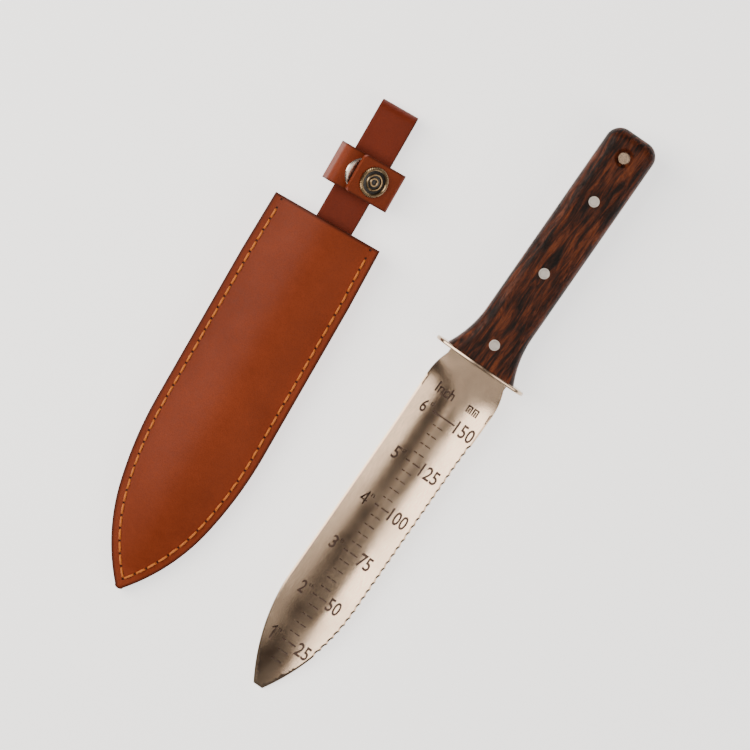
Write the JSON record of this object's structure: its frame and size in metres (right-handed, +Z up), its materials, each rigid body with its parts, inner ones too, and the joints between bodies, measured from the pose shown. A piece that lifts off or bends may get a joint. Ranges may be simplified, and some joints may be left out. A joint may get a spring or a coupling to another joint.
{
  "type": "hori hori knife",
  "caption": "Hollow-ground digging knife with a toothed edge, an oval guard and wooden scales, beside its stitched leather belt sheath.",
  "frame": {"origin": "on the surface the object lies on, under the middle of the bounding box of knife and sheath together", "axes": "+Z up from the surface, +Y from the knife's tip towards its butt, +X from the sheath towards the knife"},
  "size_m": [0.1454, 0.3053, 0.0296],
  "materials": {
    "blade_steel": "satin, lengthwise grain",
    "pin_steel": "polished flush",
    "scale_wood": "oiled dark wood",
    "sheath_leather": "smooth, burnished edges",
    "strap_leather": "smooth, cut edges",
    "thread": "waxed twisted thread",
    "snap_metal": "nickel plated"
  },
  "bodies": {
    "sheath": {"back_panel": "sheath_leather", "welt": "sheath_leather", "front_panel": "sheath_leather", "front_thread": "thread", "back_thread": "thread", "belt_strap": "strap_leather", "strap_thread": "thread", "keeper_base": "strap_leather", "keeper_rivet": "snap_metal"},
    "knife": {"blade": "blade_steel", "guard": "blade_steel", "scale_front": "scale_wood", "scale_back": "scale_wood", "rivet_front": "pin_steel", "rivet_middle": "pin_steel", "rivet_rear": "pin_steel"},
    "socket_flap": {"keeper_socket_flap": "strap_leather", "snap_socket": "snap_metal", "snap_spring": "snap_metal", "snap_post": "snap_metal"},
    "cap_flap": {"keeper_cap_flap": "strap_leather", "snap_cap": "snap_metal", "snap_stud": "snap_metal"}
  },
  "joints": [
    {"name": "knife_lift", "type": "slide", "parent": "sheath", "child": "knife", "axis": [0, 0, 1], "range_m": [0, 0.12]},
    {"name": "socket_flap_fold", "type": "hinge", "parent": "sheath", "child": "socket_flap", "pos_m": [-0.03007, 0.0679, 0.01355], "axis": [-0.0836, 0.9953, 0.0481], "range_deg": [0, 110]},
    {"name": "cap_flap_fold", "type": "hinge", "parent": "sheath", "child": "cap_flap", "pos_m": [-0.05717, 0.06562, 0.01355], "axis": [-0.0836, 0.9953, 0.0481], "range_deg": [-55, 0]}
  ],
  "couplings": [
    {"joint": "cap_flap_fold", "follows": "socket_flap_fold", "ratio": -0.5}
  ]
}
